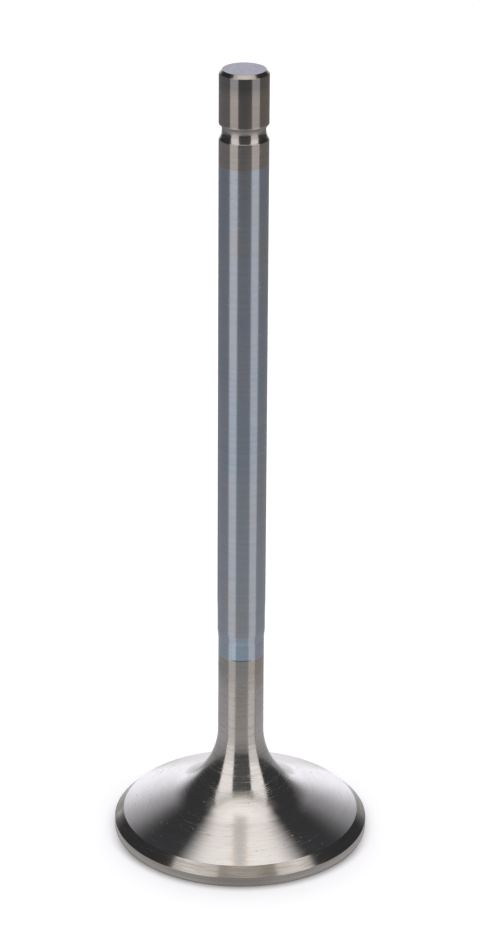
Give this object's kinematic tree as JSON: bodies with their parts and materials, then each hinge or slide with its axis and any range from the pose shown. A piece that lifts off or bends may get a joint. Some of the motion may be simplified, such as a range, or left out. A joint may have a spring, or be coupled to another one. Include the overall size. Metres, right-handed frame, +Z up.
{
  "type": "engine valve",
  "caption": "Poppet valve turned from one piece: flat round head with an angled seat face, curved neck, ground stem and a rounded keeper groove near its tip.",
  "frame": {"origin": "centre of the head's flat face, which is the part's lowest plane", "axes": "+Z up the stem from the head face to the tip; X and Y are free, because the part is round"},
  "size_m": [0.0374, 0.0374, 0.1171],
  "materials": {
    "valve_steel": "turned and ground"
  },
  "bodies": {
    "root": {"valve": "valve_steel"}
  },
  "joints": []
}
